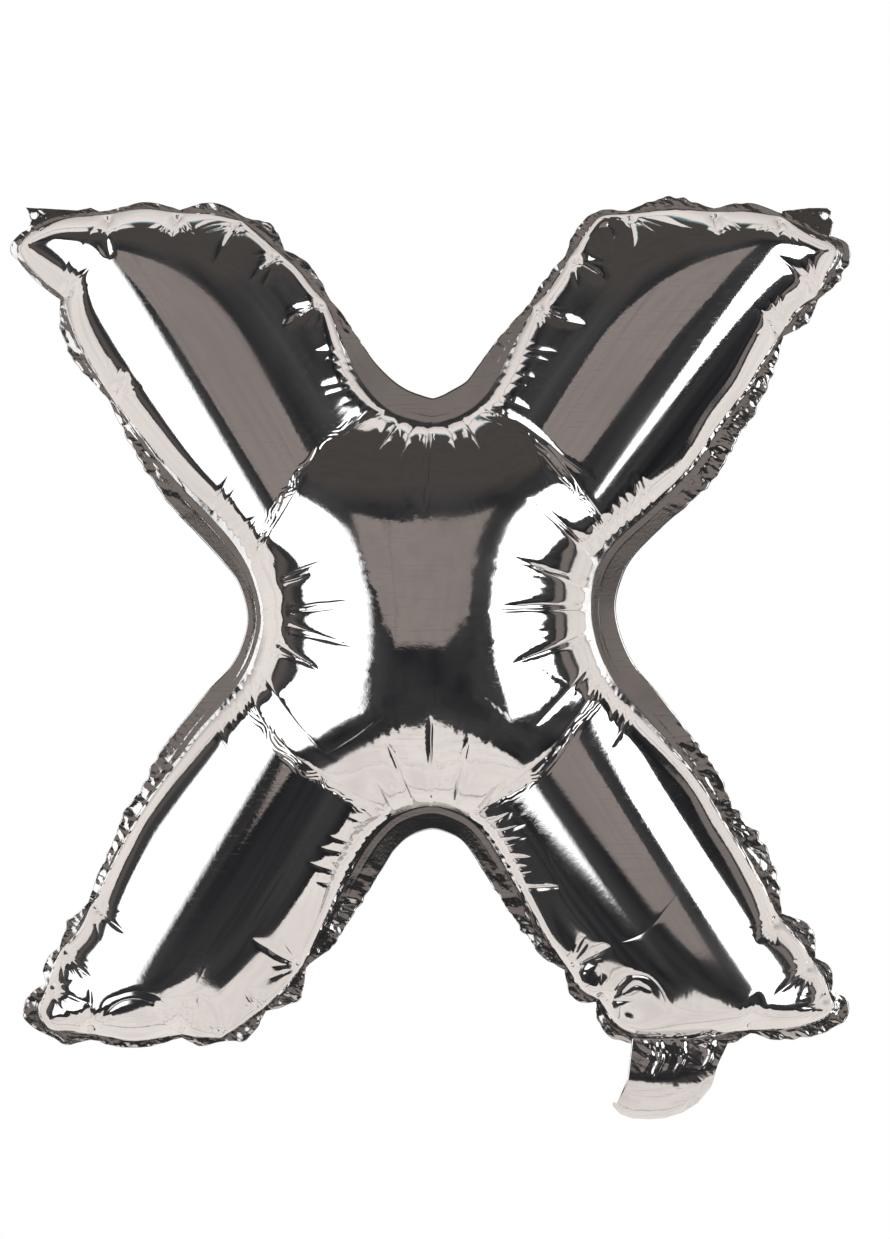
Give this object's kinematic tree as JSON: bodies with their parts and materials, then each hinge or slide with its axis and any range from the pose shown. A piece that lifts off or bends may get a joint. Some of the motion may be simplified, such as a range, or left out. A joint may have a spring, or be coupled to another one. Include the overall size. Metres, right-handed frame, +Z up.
{
  "type": "letter foil balloon",
  "caption": "Inflated foil balloon in the shape of a capital X, with a welded border, corner tabs for string and a self-sealing inflation neck.",
  "frame": {"origin": "the crossing of the X, on the plane of the weld between the front and back films", "axes": "+X to the right as the letter is read, +Y out of its back, +Z up the letter"},
  "size_m": [0.3608, 0.1102, 0.399],
  "materials": {
    "silver_film": "mirror-bright metallised film with faint scratches and smudges",
    "silver_border": "metallised film, heat welded, puckered and slightly duller",
    "neck_film": "mirror-bright metallised film, crumpled near the weld",
    "valve_film": "thin milky polyethylene film"
  },
  "bodies": {
    "root": {"front_film": "silver_film", "back_film": "silver_film", "seal_border": "silver_border", "hanging_tab_left": "silver_border", "hanging_tab_right": "silver_border", "neck_front_film": "neck_film", "neck_back_film": "neck_film", "valve_film": "valve_film"}
  },
  "joints": []
}
